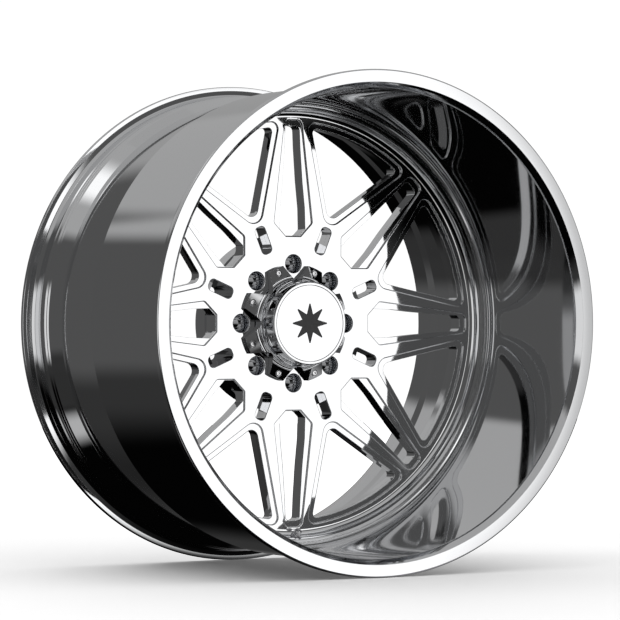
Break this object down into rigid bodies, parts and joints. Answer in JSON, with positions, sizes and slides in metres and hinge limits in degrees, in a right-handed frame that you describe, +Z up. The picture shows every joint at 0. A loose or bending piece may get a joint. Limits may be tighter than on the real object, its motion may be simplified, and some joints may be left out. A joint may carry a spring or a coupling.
{
  "type": "wheel rim",
  "caption": "Deep-lip forged truck wheel: polished barrel, flat face of split spokes, bolt-on centre cap and clamp-in tyre valve.",
  "frame": {"origin": "middle of the hub's mounting face, on the wheel's axis", "axes": "+Y along the wheel's axis towards the vehicle, the street side faces -Y, +Z up with the valve at 6 o'clock"},
  "size_m": [0.694, 0.4229, 0.694],
  "materials": {
    "polished_rim": "mirror polished",
    "polished_centre": "mirror polished, milled windows",
    "weld": "as welded, brushed",
    "cap": "mirror polished",
    "inlay": "satin dark grey",
    "foam": "foam tape",
    "rubber": "matte",
    "screw_steel": "polished stainless",
    "valve_metal": "bright plated",
    "brass": "turned"
  },
  "bodies": {
    "wheel": {"rim_barrel": "polished_rim", "wheel_centre": "polished_centre", "weld_bead": "weld", "cap_body": "cap", "cap_badge": "cap", "badge_inlay": "inlay", "badge_adhesive_pad": "foam", "cap_o_ring": "rubber", "cap_screw_1": "screw_steel", "cap_screw_2": "screw_steel", "cap_screw_3": "screw_steel", "cap_screw_4": "screw_steel", "cap_screw_5": "screw_steel", "cap_screw_6": "screw_steel", "cap_screw_7": "screw_steel", "cap_screw_8": "screw_steel", "valve_stem": "valve_metal", "valve_grommet": "rubber", "valve_washer": "valve_metal", "valve_nut": "valve_metal", "valve_core": "brass"},
    "pin": {"valve_pin": "brass"},
    "cap_lift": {"valve_cap_seal": "rubber"},
    "cap_turn": {"valve_cap": "valve_metal"}
  },
  "joints": [
    {"name": "pin_press", "type": "slide", "parent": "wheel", "child": "pin", "axis": [0, 0.7071, -0.7071], "range_m": [0, 0.0012], "stiffness_N_per_m": 300, "springref_m": -0.003},
    {"name": "dust_cap_lift", "type": "slide", "parent": "wheel", "child": "cap_lift", "axis": [0, -0.7071, 0.7071], "range_m": [0, 0.00397]},
    {"name": "dust_cap_turn", "type": "hinge", "parent": "cap_lift", "child": "cap_turn", "pos_m": [0, -0.07, -0.3035], "axis": [0, -0.7071, 0.7071], "range_deg": [0, 1800]}
  ],
  "couplings": [
    {"joint": "dust_cap_turn", "follows": "dust_cap_lift", "rad_per_m": 7913.3}
  ]
}
